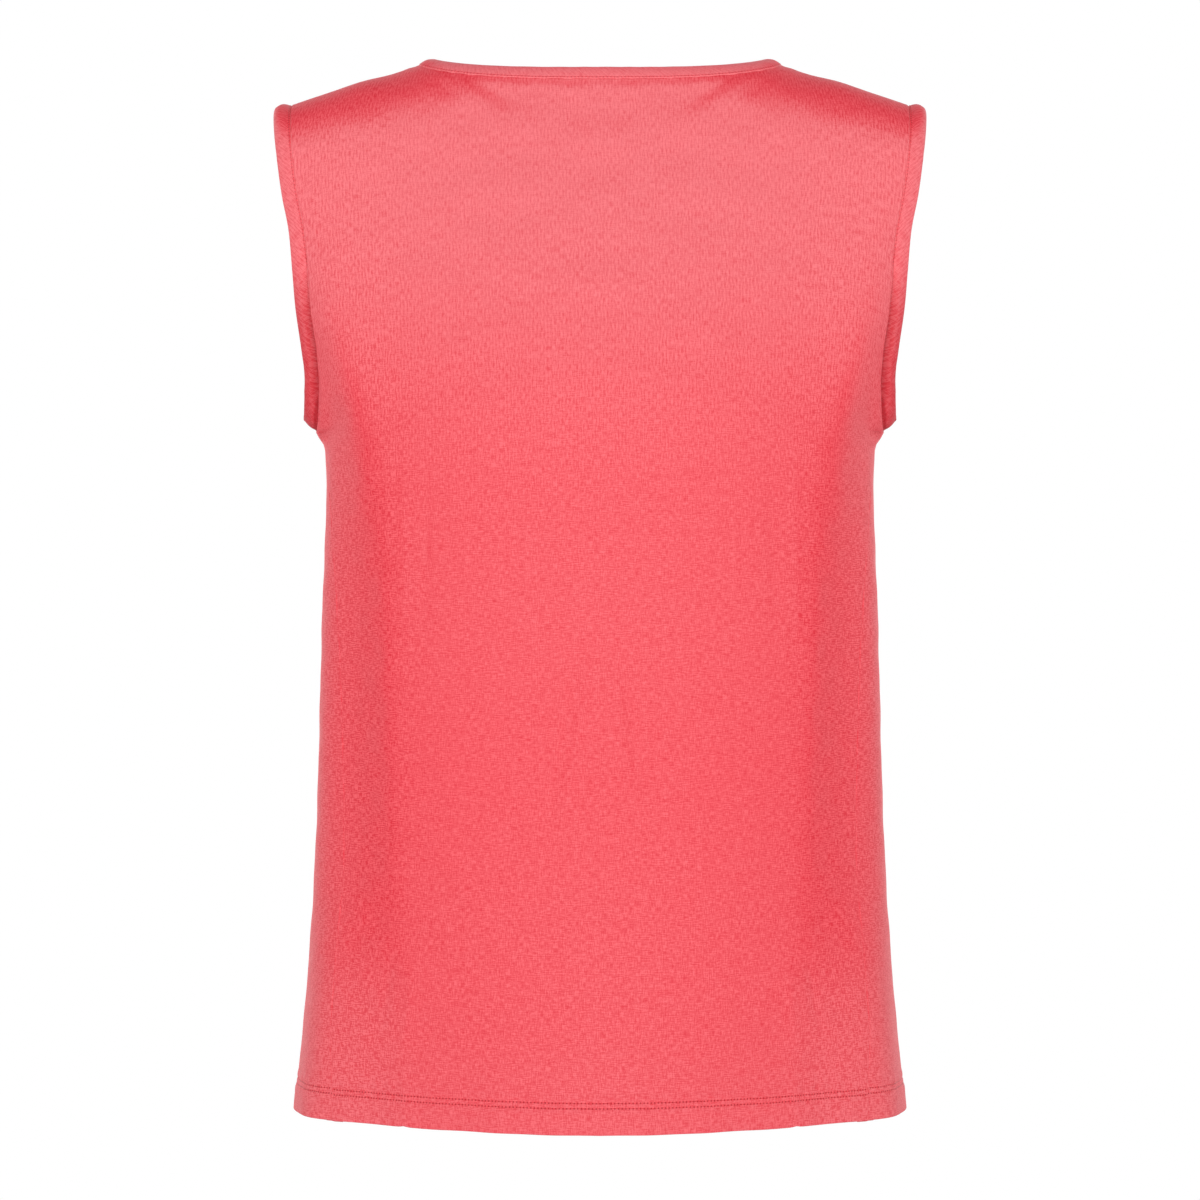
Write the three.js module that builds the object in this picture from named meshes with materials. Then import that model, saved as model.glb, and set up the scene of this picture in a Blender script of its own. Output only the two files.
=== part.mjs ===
// A sleeveless top in fine jersey, in the hollow shape that it keeps when it is filled out.
// Millimetres, +Z up. The back faces +Y and the front faces -Y.
// The origin is midway between the two neck points, level with them.
import * as THREE from "three";

// ---- Driving dimensions ----
const HEM_Z = -614; // the hem edge
const UNDERARM_Z = -219.5; // the lowest point of each armhole seam
const NECK_HALF = 96; // from the middle to each neck point, on the band's free edge
const NECK_BAND = 10; // width of the neck band along the shoulder
const TIP_X = 180; // the armhole seam where it crosses the shoulder
const NECK_POINT_Z = -1; // the fold of that edge; its roll reaches the level of the origin
const SHOULDER_SLOPE = 0.285; // fall of the shoulder line for each millimetre outwards, at the neck
const SHOULDER_BEND = 0.0004; // how much it steepens further out
const SHOULDER_DIP = 1.3; // how far it sags beside the neck band
const SHOULDER_RADIUS = 40; // how roundly the cloth turns over the shoulder
const SHOULDER_REACH = 220; // the depth over which it eases out to the full section
const SHOULDER_EASE = 1.35; // how late in that depth it does so
const NECK_CROWN = 16; // how far the shoulder form would rise inside the neck opening
const ARMHOLE_BAND = 10; // width of each armhole band
const HEM_TURN = 17; // depth of the turned-up hem
const WALL = 1; // one layer of cloth
const DOUBLE_WALL = 2; // bands and the hem, where the cloth is turned back on itself
const SEAM_GAP = 0.36; // between two pieces at a seam
const BAND_START = 0.6; // where an armhole band begins, past its seam, because it leans in
const FLARE = 5; // how far the seam at the foot of the armhole stands out
const UNDERARM_ANGLE = degrees(5); // the foot of the armhole, on a section

// Sections of the body: height, half width, depth of the back and the front from the shoulder line, and
// the power of the superellipse, which is round-sided under the arms and pointed at the hem.
const SECTIONS = [
  { z: 20, half: 210, back: 103, front: 72, power: 2.3 },
  { z: -28, half: 207, back: 103, front: 74, power: 2.3 },
  { z: -58, half: 203.4, back: 103, front: 78, power: 2.3 },
  { z: -82, half: 197.7, back: 103, front: 86, power: 2.3 },
  { z: -104, half: 190.4, back: 103, front: 94, power: 2.3 },
  { z: -128, half: 184.9, back: 103, front: 101, power: 2.3 },
  { z: -150, half: 179.9, back: 103, front: 108, power: 2.3 },
  { z: -173, half: 173.1, back: 103, front: 113, power: 2.3 },
  { z: -195, half: 166.2, back: 103, front: 118, power: 2.3 },
  { z: -219, half: 161.2, back: 103, front: 121, power: 2.3 },
  { z: -260, half: 160.2, back: 103, front: 123, power: 2.3 },
  { z: -317, half: 162.4, back: 105, front: 121, power: 2.25 },
  { z: -375, half: 163.9, back: 108, front: 118, power: 2.2 },
  { z: -434, half: 165.4, back: 111, front: 117, power: 2.1 },
  { z: -492, half: 168, back: 115, front: 118, power: 2.0 },
  { z: -551, half: 172.2, back: 120, front: 119, power: 1.85 },
  { z: -592, half: 176.2, back: 125, front: 121, power: 1.7 },
  { z: -614, half: 178.2, back: 127, front: 122, power: 1.65 },
];

// Each side seam's place on the section, in degrees behind the widest point.
const SIDE_SEAM = [
  { z: UNDERARM_Z, angle: 5 },
  { z: -317, angle: 17.4 },
  { z: -434, angle: 23.5 },
  { z: -614, angle: 30.5 },
];

// Neck seam and armhole seam of the two faces. `face` is +1 for the back and -1 for the front.
// The neck seam falls by `drop` at the middle; `scoop` carries the armhole seam further in, in degrees.
const FACES = [
  { name: "back_panel", face: 1, drop: 14, neckPower: 2.6, neckRound: 0.6, edgeDrop: 11.3, scoop: 0 },
  { name: "front_panel", face: -1, drop: 100, neckPower: 2.4, neckRound: 0.8, edgeDrop: 95, scoop: 6 },
];

// Soft folds that hang down the body: where each starts and ends (angle on the section in degrees,
// behind the widest point, and height), how wide it is in degrees, and how far it stands out or falls in.
const FOLDS = [
  { angle: 33, footAngle: 52, top: -190, foot: -760, width: 6, out: -4 },
  { angle: 27, footAngle: 30, top: -440, foot: -800, width: 7, out: 3 },
  { angle: 70, footAngle: 67, top: -480, foot: -760, width: 6, out: -2 },
  { angle: -40, footAngle: -34, top: -230, foot: -640, width: 7, out: -3 },
  { angle: -56, footAngle: -60, top: -300, foot: -660, width: 7, out: 2.4 },
  { angle: -74, footAngle: -76, top: -390, foot: -660, width: 5, out: -1.8 },
];

// How far each band leans in from straight outwards, in degrees, round the armhole.
const BAND_LEAN = { shoulder: 14, back: 30, underarm: 48, front: 42 };

const NECK_COLUMNS = 8; // across half the neck
const SHOULDER_COLUMNS = 6; // along a shoulder
const BODY_ROWS = 11; // between the hem and the underarm
const ARMHOLE_ROWS = 16; // from the underarm to the shoulder
const CORAL = 0xf4606b;

// ---- Helpers ----
function degrees(value) {
  return (value * Math.PI) / 180;
}

function clamp01(value) {
  return Math.min(Math.max(value, 0), 1);
}

function mix(from, to, share) {
  return from + (to - from) * share;
}

// The value of a column at a height: a cubic through the rows, whose slope at each row is its neighbours'.
function read(table, column, z) {
  const last = table.length - 1;
  let i = 0;
  while (i < last - 1 && z < table[i + 1].z) i += 1;
  const slope = (k) => {
    const above = table[Math.max(k - 1, 0)];
    const below = table[Math.min(k + 1, last)];
    return (below[column] - above[column]) / (below.z - above.z);
  };
  const span = table[i + 1].z - table[i].z;
  const u = clamp01((z - table[i].z) / span);
  const start = table[i][column] * (1 + 2 * u) * (1 - u) ** 2 + slope(i) * span * u * (1 - u) ** 2;
  const end = table[i + 1][column] * u * u * (3 - 2 * u) + slope(i + 1) * span * u * u * (u - 1);
  return start + end;
}

// ---- The surface of the body ----
// Height of the shoulder line above a place across the body; inside the neck it goes on as a low crown.
function shoulderLine(x) {
  if (x >= NECK_HALF) {
    const out = x - NECK_HALF;
    const dip = SHOULDER_DIP * Math.exp(-(((out - 26) / 14) ** 2));
    return NECK_POINT_Z - SHOULDER_SLOPE * out - SHOULDER_BEND * out * out - dip;
  }
  return NECK_POINT_Z + NECK_CROWN * (1 - (x / NECK_HALF) ** 1.7);
}

// How far the folds move the cloth outwards.
function foldDepth(angle, z) {
  let out = 0;
  for (const fold of FOLDS) {
    const along = clamp01((fold.top - z) / (fold.top - fold.foot));
    const centre = degrees(mix(fold.angle, fold.footAngle, along));
    const across = (angle - centre) / degrees(fold.width);
    out += fold.out * Math.sin(Math.PI * along) ** 0.8 * Math.exp(-across * across);
  }
  return out;
}

// The cloth stands out at the foot of the armhole, where the band's seam is thick.
function seamFlare(angle, z) {
  const edge = armholeAngle(angle >= UNDERARM_ANGLE ? 1 : -1, z);
  const across = (angle - edge) / degrees(5);
  const rise = (z - UNDERARM_Z) / (z > UNDERARM_Z ? 25 : 4);
  return FLARE * Math.exp(-across * across - rise * rise);
}

// A point of the outer face. The angle is 0 at the widest point, +90 degrees at the middle of the back
// and -90 degrees at the middle of the front. The section is a superellipse, and under the shoulder line
// its depth grows by a quarter circle and then eases out to the full depth.
function bodyPoint(angle, z) {
  const power = 2 / read(SECTIONS, "power", z);
  const half = read(SECTIONS, "half", z);
  const depth = read(SECTIONS, angle > 0 ? "back" : "front", z);
  const x = half * Math.max(Math.cos(angle), 0) ** power;
  const full = depth * Math.abs(Math.sin(angle)) ** power;
  const below = Math.max(shoulderLine(x) - z, 0);
  const turn = clamp01(below / SHOULDER_RADIUS);
  const reach = clamp01(below / SHOULDER_REACH);
  const rounded = Math.min(full, SHOULDER_RADIUS) * Math.sqrt(1 - (1 - turn) ** 2);
  const eased = Math.max(full - SHOULDER_RADIUS, 0) * (1 - (1 - reach) ** SHOULDER_EASE);
  const out = new THREE.Vector2(Math.cos(angle) / half, Math.sin(angle) / depth).normalize();
  const fold = foldDepth(angle, z);
  return new THREE.Vector3(
    x + fold * out.x + seamFlare(angle, z),
    Math.sign(angle) * (rounded + eased) + fold * out.y,
    z,
  );
}

// The outward direction there, from two short steps on the surface.
function bodyNormal(angle, z) {
  const across = bodyPoint(angle - 0.01, z).sub(bodyPoint(angle + 0.01, z));
  const up = bodyPoint(angle, z + 0.5).sub(bodyPoint(angle, z - 0.5));
  return up.cross(across).normalize().negate();
}

// The angle on the section where the body reaches a given distance from the middle.
function angleAt(x, z) {
  return Math.acos(clamp01((x / read(SECTIONS, "half", z)) ** (read(SECTIONS, "power", z) / 2)));
}

const TIP_Z = shoulderLine(TIP_X);
const TIP_ANGLE = angleAt(TIP_X, TIP_Z);

// The armhole seam: round at the foot, then rising to the shoulder tip.
function armholeAngle(face, z) {
  const rise = clamp01((z - UNDERARM_Z) / (TIP_Z - UNDERARM_Z));
  const bow = (1 - (1 - rise) ** 2) ** (1 / 1.7);
  const scoop = FACES.find((row) => row.face === face).scoop;
  const straight = mix(UNDERARM_ANGLE, face * TIP_ANGLE, bow);
  return straight + face * degrees(scoop) * Math.sin(Math.PI * rise);
}

// The neck seam's height across the body, and the free edge's.
function neckSeamZ(row, x) {
  const share = clamp01(1 - (x / (NECK_HALF + NECK_BAND)) ** row.neckPower);
  return shoulderLine(NECK_HALF + NECK_BAND) - row.drop * share ** row.neckRound;
}

function neckEdgeZ(row, x) {
  return NECK_POINT_Z - row.edgeDrop * clamp01(1 - (x / NECK_HALF) ** row.neckPower) ** row.neckRound;
}

// ---- Grids ----
const COLUMNS = NECK_COLUMNS + SHOULDER_COLUMNS;

// Where each column ends at the top: along the neck seam, closer together near the corner, then along
// the shoulder line.
function topOfColumn(row, column) {
  if (column <= NECK_COLUMNS) {
    const x = (NECK_HALF + NECK_BAND) * Math.sin(((Math.PI / 2) * column) / NECK_COLUMNS);
    return { x, z: neckSeamZ(row, x) };
  }
  const x = mix(NECK_HALF + NECK_BAND, TIP_X, (column - NECK_COLUMNS) / SHOULDER_COLUMNS);
  return { x, z: shoulderLine(x) };
}

// Angle and height of one grid point above the underarm; rows crowd at the foot and at the shoulder.
function yokePlace(row, column, step) {
  const rise = (1 - Math.cos((Math.PI * step) / ARMHOLE_ROWS)) / 2;
  const top = topOfColumn(row, column);
  const middle = (row.face * Math.PI) / 2;
  const topShare = (row.face * angleAt(top.x, top.z) - middle) / (row.face * TIP_ANGLE - middle);
  const edge = armholeAngle(row.face, mix(UNDERARM_Z, TIP_Z, rise));
  const share = mix(column / COLUMNS, topShare, rise);
  return { angle: mix(middle, edge, share), z: mix(UNDERARM_Z, top.z, rise) };
}

// Heights of the rows below the underarm, with the step of the turned-up hem and one row under the flare.
function bodyRowHeights() {
  const heights = [HEM_Z, HEM_Z + HEM_TURN, HEM_Z + HEM_TURN + 1];
  const low = heights[2];
  const high = UNDERARM_Z - 6;
  for (let k = 1; k <= BODY_ROWS; k += 1) heights.push(mix(low, high, k / BODY_ROWS));
  return heights;
}

// Rows of { angle, z, wall } over half a panel, from the hem to the shoulder.
function halfPanel(row) {
  const middle = (row.face * Math.PI) / 2;
  const rows = bodyRowHeights().map((z) => {
    const edge = degrees(read(SIDE_SEAM, "angle", z));
    const wall = z <= HEM_Z + HEM_TURN ? DOUBLE_WALL : WALL;
    return Array.from({ length: COLUMNS + 1 }, (_, column) => {
      return { angle: mix(middle, edge, column / COLUMNS), z, wall };
    });
  });
  for (let step = 0; step <= ARMHOLE_ROWS; step += 1) {
    rows.push(Array.from({ length: COLUMNS + 1 }, (_, column) => {
      return { ...yokePlace(row, column, step), wall: WALL };
    }));
  }
  return rows;
}

// ---- Solids ----
// A closed mesh from rings of points that all have one length; each ring is joined to the next, and the
// last to the first where the rings go round.
function ringSolid(rings, goesRound) {
  const size = rings[0].length;
  const positions = rings.flat().flatMap((point) => point.toArray());
  const faces = [];
  const strips = goesRound ? rings.length : rings.length - 1;
  for (let i = 0; i < strips; i += 1) {
    for (let j = 0; j < size; j += 1) {
      const a = i * size + j;
      const b = i * size + ((j + 1) % size);
      const c = ((i + 1) % rings.length) * size + j;
      const d = ((i + 1) % rings.length) * size + ((j + 1) % size);
      faces.push(a, b, d, a, d, c);
    }
  }
  const geometry = new THREE.BufferGeometry();
  geometry.setAttribute("position", new THREE.Float32BufferAttribute(positions, 3));
  geometry.setIndex(faces);
  return geometry;
}

// Turns the faces of a closed mesh outwards, if they point in.
function facingOut(geometry) {
  const position = geometry.getAttribute("position");
  const index = geometry.getIndex();
  const corner = [new THREE.Vector3(), new THREE.Vector3(), new THREE.Vector3()];
  let volume = 0;
  for (let i = 0; i < index.count; i += 3) {
    corner.forEach((point, k) => point.fromBufferAttribute(position, index.getX(i + k)));
    volume += corner[0].dot(corner[1].clone().cross(corner[2]));
  }
  if (volume > 0) return geometry;
  for (let i = 0; i < index.count; i += 3) {
    const second = index.getX(i + 1);
    index.setX(i + 1, index.getX(i + 2));
    index.setX(i + 2, second);
  }
  return geometry;
}

// A wall between two grids of points: both faces, and a strip round the outline.
function wallSolid(outer, inner) {
  const rows = outer.length;
  const columns = outer[0].length;
  const count = rows * columns;
  const positions = [...outer.flat(), ...inner.flat()].flatMap((point) => point.toArray());
  const faces = [];
  for (let i = 0; i < rows - 1; i += 1) {
    for (let j = 0; j < columns - 1; j += 1) {
      const a = i * columns + j;
      const b = a + 1;
      const c = a + columns;
      const d = c + 1;
      faces.push(a, b, d, a, d, c);
      faces.push(count + a, count + d, count + b, count + a, count + c, count + d);
    }
  }
  const outline = [];
  for (let j = 0; j < columns - 1; j += 1) outline.push(j);
  for (let i = 0; i < rows - 1; i += 1) outline.push(i * columns + columns - 1);
  for (let j = columns - 1; j > 0; j -= 1) outline.push((rows - 1) * columns + j);
  for (let i = rows - 1; i > 0; i -= 1) outline.push(i * columns);
  outline.forEach((here, k) => {
    const next = outline[(k + 1) % outline.length];
    faces.push(here, count + here, count + next, here, count + next, next);
  });
  const geometry = new THREE.BufferGeometry();
  geometry.setAttribute("position", new THREE.Float32BufferAttribute(positions, 3));
  geometry.setIndex(faces);
  return facingOut(geometry);
}

function mirrored(point) {
  return new THREE.Vector3(-point.x, point.y, point.z);
}

// A panel: the half grid and its mirror, pulled back from its seams, with the wall on the inside.
function panelGeometry(row) {
  const half = halfPanel(row);
  const last = half.length - 1;
  const outer = half.map((places) => places.map((place) => bodyPoint(place.angle, place.z)));
  const normals = half.map((places) => places.map((place) => bodyNormal(place.angle, place.z)));
  const pulled = outer.map((points, i) => points.map((point, j) => {
    const moved = point.clone();
    const towards = (other) => other.clone().sub(point).normalize().multiplyScalar(SEAM_GAP / 2);
    if (j === COLUMNS) moved.add(towards(outer[i][j - 1]));
    if (i === last) moved.add(towards(outer[i - 1][j]));
    return moved;
  }));
  const inner = pulled.map((points, i) => points.map((point, j) => {
    const moved = point.clone().addScaledVector(normals[i][j], -half[i][j].wall);
    const onShoulder = i === last && j >= NECK_COLUMNS;
    if (onShoulder) moved.y = row.face * Math.max(row.face * moved.y, SEAM_GAP / 2);
    if (j === 0) moved.x = 0;
    return moved;
  }));
  const whole = (grid) => grid.map((points) => [...points.slice(1).reverse().map(mirrored), ...points]);
  return wallSolid(whole(pulled), whole(inner));
}

// Points of one armhole's seam in order: up the back, over the shoulder, down the front.
function armholeSeam() {
  const edge = (row) => Array.from({ length: ARMHOLE_ROWS + 1 }, (_, step) => {
    const place = yokePlace(row, COLUMNS, step);
    return bodyPoint(place.angle, place.z);
  });
  return [...edge(FACES[0]), ...edge(FACES[1]).reverse().slice(1, -1)];
}

// How far the band leans in at a direction round the armhole, mixed from its four named places.
function bandLean(away) {
  const up = Math.max(away.z, 0) ** 2 * BAND_LEAN.shoulder + Math.max(-away.z, 0) ** 2 * BAND_LEAN.underarm;
  const side = Math.max(away.y, 0) ** 2 * BAND_LEAN.back + Math.max(-away.y, 0) ** 2 * BAND_LEAN.front;
  return degrees(up + side);
}

// An armhole band: a flat doubled strip with a rounded free edge, carried round the armhole seam.
function armholeBandGeometry(side) {
  const seam = armholeSeam();
  const profile = [
    { across: BAND_START, out: 0 },
    { across: ARMHOLE_BAND - 1, out: 0 },
    { across: ARMHOLE_BAND, out: -DOUBLE_WALL / 2 },
    { across: ARMHOLE_BAND - 1, out: -DOUBLE_WALL },
    { across: BAND_START, out: -DOUBLE_WALL },
  ];
  const rings = seam.map((point, i) => {
    const next = seam[(i + 1) % seam.length];
    const previous = seam[(i + seam.length - 1) % seam.length];
    const along = next.clone().sub(previous).setX(0).normalize();
    const away = new THREE.Vector3(0, along.z, -along.y);
    const lean = bandLean(away);
    const across = new THREE.Vector3(Math.cos(lean), 0, 0).addScaledVector(away, -Math.sin(lean));
    const out = new THREE.Vector3(Math.sin(lean), 0, 0).addScaledVector(away, Math.cos(lean));
    return profile.map((place) => {
      const moved = point.clone().addScaledVector(across, place.across).addScaledVector(out, place.out);
      return side > 0 ? moved : mirrored(moved);
    });
  });
  return facingOut(ringSolid(rings, true));
}

// The neck band: the body's own surface between the neck seam and the free edge, doubled.
function neckBandGeometry() {
  const quarter = (row) => Array.from({ length: NECK_COLUMNS + 1 }, (_, column) => {
    const seam = topOfColumn(row, column);
    const edgeX = (seam.x * NECK_HALF) / (NECK_HALF + NECK_BAND);
    const edge = { x: edgeX, z: neckEdgeZ(row, edgeX) };
    const places = [0, 0.5, 1].map((share) => {
      const x = mix(seam.x, edge.x, share);
      const z = Math.min(mix(seam.z, edge.z, share), shoulderLine(x));
      const angle = row.face * angleAt(x, z);
      const normal = bodyNormal(angle, z);
      if (column === NECK_COLUMNS) normal.setY(0).normalize();
      if (column === 0) normal.setX(0).normalize();
      return { point: bodyPoint(angle, z), normal };
    });
    const across = places[2].point.clone().sub(places[0].point).normalize();
    places[0].point.addScaledVector(across, SEAM_GAP);
    const layer = (place, depth) => place.point.clone().addScaledVector(place.normal, -depth);
    const fold = layer(places[2], DOUBLE_WALL / 2).addScaledVector(across, 0.8);
    return [
      layer(places[0], 0), layer(places[1], 0), layer(places[2], 0), fold,
      layer(places[2], DOUBLE_WALL), layer(places[1], DOUBLE_WALL), layer(places[0], DOUBLE_WALL),
    ];
  });
  const back = quarter(FACES[0]);
  const front = quarter(FACES[1]);
  const right = [...back, ...front.slice(0, -1).reverse()];
  const left = right.slice(1, -1).reverse().map((ring) => ring.map(mirrored));
  return facingOut(ringSolid([...right, ...left], true));
}

// ---- The object ----
function jersey() {
  return new THREE.MeshStandardMaterial({ color: CORAL, roughness: 0.62, metalness: 0 });
}

function piece(name, geometry) {
  const mesh = new THREE.Mesh(geometry, jersey());
  mesh.name = name;
  return mesh;
}

const top = new THREE.Group();
for (const row of FACES) top.add(piece(row.name, panelGeometry(row)));
top.add(piece("neck_band", neckBandGeometry()));
top.add(piece("armhole_band_right", armholeBandGeometry(1)));
top.add(piece("armhole_band_left", armholeBandGeometry(-1)));

export default top;
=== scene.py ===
"""A sleeveless top in fine coral jersey, in the hollow shape that it keeps when it is filled out.

Metres, +Z up, the back faces +Y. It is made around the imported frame, in the order in which the
top is sewn: panels, seams, neck band, armhole bands and hem stitching.
"""
import math

import bpy
import numpy as np
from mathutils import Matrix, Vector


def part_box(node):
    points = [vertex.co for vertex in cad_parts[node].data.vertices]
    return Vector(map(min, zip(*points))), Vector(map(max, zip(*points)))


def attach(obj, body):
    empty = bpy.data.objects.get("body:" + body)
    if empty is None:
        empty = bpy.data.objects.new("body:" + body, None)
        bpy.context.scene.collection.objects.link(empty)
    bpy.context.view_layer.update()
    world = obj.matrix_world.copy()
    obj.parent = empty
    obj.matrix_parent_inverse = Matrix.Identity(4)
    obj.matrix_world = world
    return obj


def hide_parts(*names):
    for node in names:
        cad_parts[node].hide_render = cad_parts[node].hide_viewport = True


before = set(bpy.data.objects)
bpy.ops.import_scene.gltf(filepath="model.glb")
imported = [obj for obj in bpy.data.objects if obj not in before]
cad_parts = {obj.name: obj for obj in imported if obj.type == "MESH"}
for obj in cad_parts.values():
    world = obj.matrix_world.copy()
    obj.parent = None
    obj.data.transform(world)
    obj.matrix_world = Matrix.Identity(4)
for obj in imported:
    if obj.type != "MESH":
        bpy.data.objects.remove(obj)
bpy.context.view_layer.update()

# ---------------------------------------------------------------------------------------------
# Camera: level with the middle of the top and square to its back, far enough away for the
# hem's round edge to dip only slightly in the middle.
# ---------------------------------------------------------------------------------------------
CAMERA_AWAY = 2.4
CAMERA_HEIGHT = -0.317
SEEN_WIDTH = 0.702

camera_data = bpy.data.cameras.new("camera")
camera_data.sensor_width = 36
camera_data.lens = camera_data.sensor_width * CAMERA_AWAY / SEEN_WIDTH
camera = bpy.data.objects.new("camera", camera_data)
camera.location = (0, CAMERA_AWAY, CAMERA_HEIGHT)
camera.rotation_euler = (math.pi / 2, 0, math.pi)
bpy.context.scene.collection.objects.link(camera)
bpy.context.scene.camera = camera

# ---------------------------------------------------------------------------------------------
# Back panel and front panel: two pieces of single jersey, cut to the shape of the body and
# joined at the shoulders and sides. Each is one thin sheet whose foot is turned up inside
# to make the hem, and whose side and shoulder edges are turned in along the seams.
# ---------------------------------------------------------------------------------------------
HEM_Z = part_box("back_panel")[0].z
UNDERARM_Z = -0.2195
UNDERARM_ANGLE = math.radians(5)
NECK_HALF = 0.096
NECK_BAND = 0.010
SEAM_HALF = NECK_HALF + NECK_BAND
NECK_POINT_Z = -0.001
NECK_CROWN = {"high": 0.016, "power": 1.7}
TIP_X = 0.180
SHOULDER_SLOPE = 0.285
SHOULDER_BEND = 0.4
SHOULDER_DIP = {"deep": 0.0013, "out": 0.026, "wide": 0.014}  # a sag beside the neck band
SHOULDER_RADIUS = 0.040
SHOULDER_REACH = 0.220
SHOULDER_EASE = 1.35
ARMHOLE_BOW = 1 / 1.7
FLARE = {"out": 0.005, "turn": math.radians(5), "above": 0.025, "below": 0.0055}
FOLD_FADE = 0.8
CLOTH = 0.0005  # thickness of one layer of jersey


def named_rows(columns, rows):
    """Rows of values, each value under its column's name."""
    return [dict(zip(columns.split(), row)) for row in rows]


# Sections of the body: height, half width, depth of the back and of the front, and the power of
# the superellipse, which is round-sided under the arms and pointed at the hem.
SECTIONS = named_rows("z half back front power", [
    (0.020, 0.2100, 0.103, 0.072, 2.3),
    (-0.028, 0.2070, 0.103, 0.074, 2.3),
    (-0.058, 0.2034, 0.103, 0.078, 2.3),
    (-0.082, 0.1977, 0.103, 0.086, 2.3),
    (-0.104, 0.1904, 0.103, 0.094, 2.3),
    (-0.128, 0.1849, 0.103, 0.101, 2.3),
    (-0.150, 0.1799, 0.103, 0.108, 2.3),
    (-0.173, 0.1731, 0.103, 0.113, 2.3),
    (-0.195, 0.1662, 0.103, 0.118, 2.3),
    (-0.219, 0.1612, 0.103, 0.121, 2.3),
    (-0.260, 0.1602, 0.103, 0.123, 2.3),
    (-0.317, 0.1624, 0.105, 0.121, 2.25),
    (-0.375, 0.1639, 0.108, 0.118, 2.2),
    (-0.434, 0.1654, 0.111, 0.117, 2.1),
    (-0.492, 0.1680, 0.115, 0.118, 2.0),
    (-0.551, 0.1722, 0.120, 0.119, 1.85),
    (-0.592, 0.1762, 0.125, 0.121, 1.7),
    (-0.614, 0.1782, 0.127, 0.122, 1.65),
])

# The side seam's place on the section, in degrees behind the widest point.
SIDE_SEAM = named_rows("z angle", [
    (UNDERARM_Z, 5),
    (-0.317, 17.4),
    (-0.434, 23.5),
    (-0.614, 30.5),
])

# How each panel is cut: which way it faces; how far its neck seam and the neck band's edge drop at
# the middle, and the powers of their curve; how many degrees further in its armhole is scooped; and
# how much higher its hem hangs.
BACK = {
    "face": 1, "drop": 0.014, "edge_drop": 0.0098, "power": 2.6, "round": 0.6,
    "scoop": 0, "hem_rise": 0,
}
FRONT = {
    "face": -1, "drop": 0.100, "edge_drop": 0.095, "power": 2.4, "round": 0.8,
    "scoop": 6, "hem_rise": 0.0006,
}

# Soft folds that hang down the body: angle on the section at the top and at the foot, in degrees
# behind the widest point; where each starts and ends; half width in degrees; and how far it
# stands out.
FOLDS = named_rows("angle foot_angle top foot width out", [
    (26, 32, -0.200, -0.560, 15, -0.0081),
    (25, 23, -0.480, -0.750, 11, 0.0066),
    (42, 49, -0.215, -0.600, 5, 0.0012),
    (36, 34, -0.060, -0.300, 10, 0.0032),
    (49.5, 49.0, -0.215, -0.350, 1.4, 0.0005),
    (56.0, 55.0, -0.215, -0.360, 1.3, -0.0006),
    (-40, -34, -0.230, -0.640, 7, -0.003),
    (-56, -60, -0.300, -0.660, 7, 0.0024),
    (-74, -76, -0.390, -0.660, 5, -0.0018),
])


def table_value(table, name, z):
    """The value of a named column at each height: a cubic through the rows, each row's slope
    being the slope between its two neighbours."""
    heights = np.array([row["z"] for row in table][::-1])
    values = np.array([float(row[name]) for row in table][::-1])
    last = len(table) - 1
    after = np.minimum(np.arange(last + 1) + 1, last)
    before = np.maximum(np.arange(last + 1) - 1, 0)
    slopes = (values[after] - values[before]) / (heights[after] - heights[before])
    k = np.clip(np.searchsorted(heights, z) - 1, 0, last - 1)
    span = heights[k + 1] - heights[k]
    u = np.clip((z - heights[k]) / span, 0, 1)
    start = values[k] * (1 + 2 * u) * (1 - u) ** 2 + slopes[k] * span * u * (1 - u) ** 2
    end = values[k + 1] * u * u * (3 - 2 * u) + slopes[k + 1] * span * u * u * (u - 1)
    return start + end


def mix(start, end, share):
    """A value on the way from start to end."""
    return start + (end - start) * share


def bell(value, centre, spread):
    """A bell curve of height one round a centre."""
    return np.exp(-(((value - centre) / spread) ** 2))


def shoulder_line(x):
    """Height of the shoulder line: outside the neck points a fall that steepens, with a sag beside
    the neck band, and inside them a low crown that the neck opening cuts away."""
    out = np.maximum(x - NECK_HALF, 0)
    dip = SHOULDER_DIP["deep"] * bell(out, SHOULDER_DIP["out"], SHOULDER_DIP["wide"])
    outside = -SHOULDER_SLOPE * out - SHOULDER_BEND * out**2 - dip
    share = np.minimum(x / NECK_HALF, 1) ** NECK_CROWN["power"]
    return NECK_POINT_Z + np.where(x >= NECK_HALF, outside, NECK_CROWN["high"] * (1 - share))


def angle_at(x, z):
    """The angle on the section where the body is x away from the middle."""
    share = np.clip(x / table_value(SECTIONS, "half", z), 0, 1)
    return np.arccos(share ** (table_value(SECTIONS, "power", z) / 2))


TIP_Z = float(shoulder_line(TIP_X))
TIP_ANGLE = float(angle_at(TIP_X, TIP_Z))


def armhole_angle(cut, z):
    """The armhole seam's angle: a rounded foot that rises to the shoulder tip, with the front
    scooped further in by a sine."""
    rise = np.clip((z - UNDERARM_Z) / (TIP_Z - UNDERARM_Z), 0, 1)
    bow = (1 - (1 - rise) ** 2) ** ARMHOLE_BOW
    straight = mix(UNDERARM_ANGLE, cut["face"] * TIP_ANGLE, bow)
    return straight + cut["face"] * math.radians(cut["scoop"]) * np.sin(np.pi * rise)


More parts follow.
